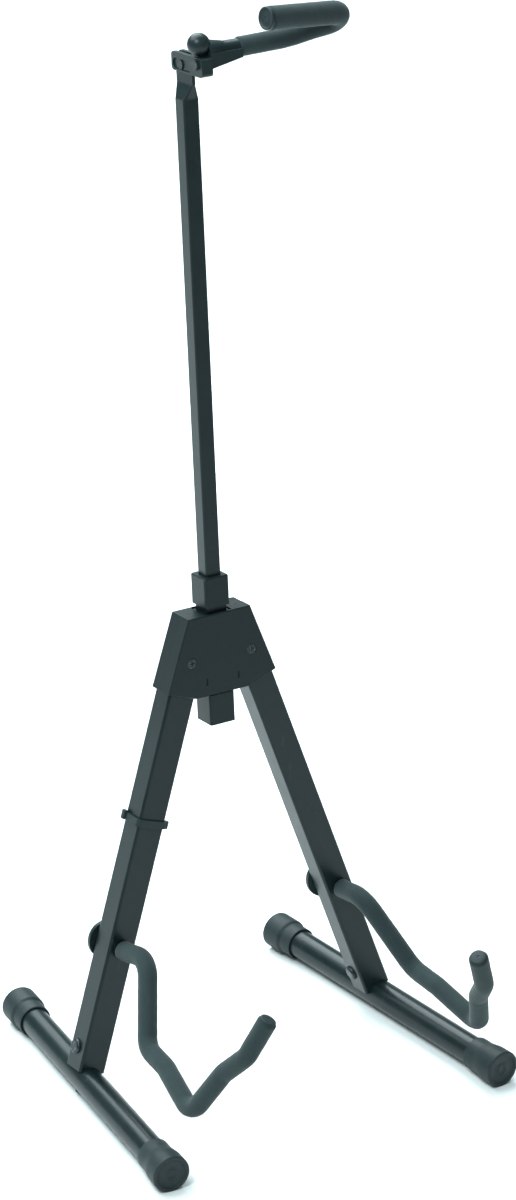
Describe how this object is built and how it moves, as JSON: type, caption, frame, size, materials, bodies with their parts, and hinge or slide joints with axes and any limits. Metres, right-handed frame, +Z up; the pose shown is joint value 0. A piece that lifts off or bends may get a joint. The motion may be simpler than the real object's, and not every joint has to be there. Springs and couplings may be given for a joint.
{
  "type": "folding guitar stand",
  "caption": "Folding A-frame guitar stand with tall sliding mast, swivelling padded cradle arms and a padded hook neck rest.",
  "frame": {"origin": "centre of the bounding box on the floor, under the stand", "axes": "+Z up, -Y the front where the cradle arms reach, +X to the right seen from the front"},
  "size_m": [0.316, 0.3302, 0.8089],
  "materials": {
    "frame_paint": "satin",
    "yoke_plastic": "matte",
    "rest_plastic": "satin",
    "black_plastic": "matte",
    "black_rubber": "matte",
    "grey_foam": "matte",
    "fastener_black": "satin"
  },
  "bodies": {
    "yoke": {"yoke_shell_front": "yoke_plastic", "yoke_shell_rear": "yoke_plastic", "mast_sleeve": "yoke_plastic", "pivot_screws": "fastener_black", "pivot_nuts": "fastener_black", "pivot_bushes": "black_plastic", "shell_screws": "fastener_black"},
    "left_leg": {"left_leg_tube": "frame_paint", "left_leg_saddle": "black_plastic", "left_leg_rivet": "fastener_black", "left_foot_screw": "fastener_black", "left_foot_bar": "frame_paint", "left_front_cap": "black_rubber", "left_rear_cap": "black_rubber", "left_cradle_bush": "black_plastic", "leg_clip": "black_plastic"},
    "right_leg": {"right_leg_tube": "frame_paint", "right_leg_saddle": "black_plastic", "right_leg_rivet": "fastener_black", "right_foot_screw": "fastener_black", "right_foot_bar": "frame_paint", "right_front_cap": "black_rubber", "right_rear_cap": "black_rubber", "right_cradle_bush": "black_plastic"},
    "left_cradle": {"left_cradle_rod": "frame_paint", "left_cradle_foam": "grey_foam", "left_cradle_tip": "black_rubber", "left_cradle_disc": "black_plastic"},
    "right_cradle": {"right_cradle_rod": "frame_paint", "right_cradle_foam": "grey_foam", "right_cradle_tip": "black_rubber", "right_cradle_disc": "black_plastic"},
    "mast": {"mast_tube": "frame_paint", "mast_end_plug": "black_plastic"},
    "neck_rest": {"rest_bracket": "rest_plastic", "rest_pivot_bolt": "fastener_black", "rest_pivot_nut": "fastener_black", "rest_body": "rest_plastic", "rest_body_bolt": "fastener_black", "hook_rod": "frame_paint", "hook_foam": "grey_foam", "hook_end_cap": "black_rubber"}
  },
  "joints": [
    {"name": "left_leg_fold", "type": "hinge", "parent": "yoke", "child": "left_leg", "pos_m": [-0.0255, 0.06485, 0.322], "axis": [0, -0.9969, 0.0785], "range_deg": [0, 18.5]},
    {"name": "right_leg_fold", "type": "hinge", "parent": "yoke", "child": "right_leg", "pos_m": [0.0255, 0.06485, 0.322], "axis": [0, 0.9969, -0.0785], "range_deg": [0, 18.5]},
    {"name": "left_cradle_turn", "type": "hinge", "parent": "left_leg", "child": "left_cradle", "pos_m": [-0.09594, 0.04833, 0.11212], "axis": [0, 0.9969, -0.0785], "range_deg": [0, 90]},
    {"name": "right_cradle_turn", "type": "hinge", "parent": "right_leg", "child": "right_cradle", "pos_m": [0.09594, 0.04833, 0.11212], "axis": [0, -0.9969, 0.0785], "range_deg": [0, 90]},
    {"name": "mast_slide", "type": "slide", "parent": "yoke", "child": "mast", "axis": [0, -0.0785, -0.9969], "range_m": [0, 0.24]},
    {"name": "rest_tilt", "type": "hinge", "parent": "mast", "child": "neck_rest", "pos_m": [0, 0.09945, 0.76164], "axis": [-1, 0, 0], "range_deg": [0, 50]}
  ]
}
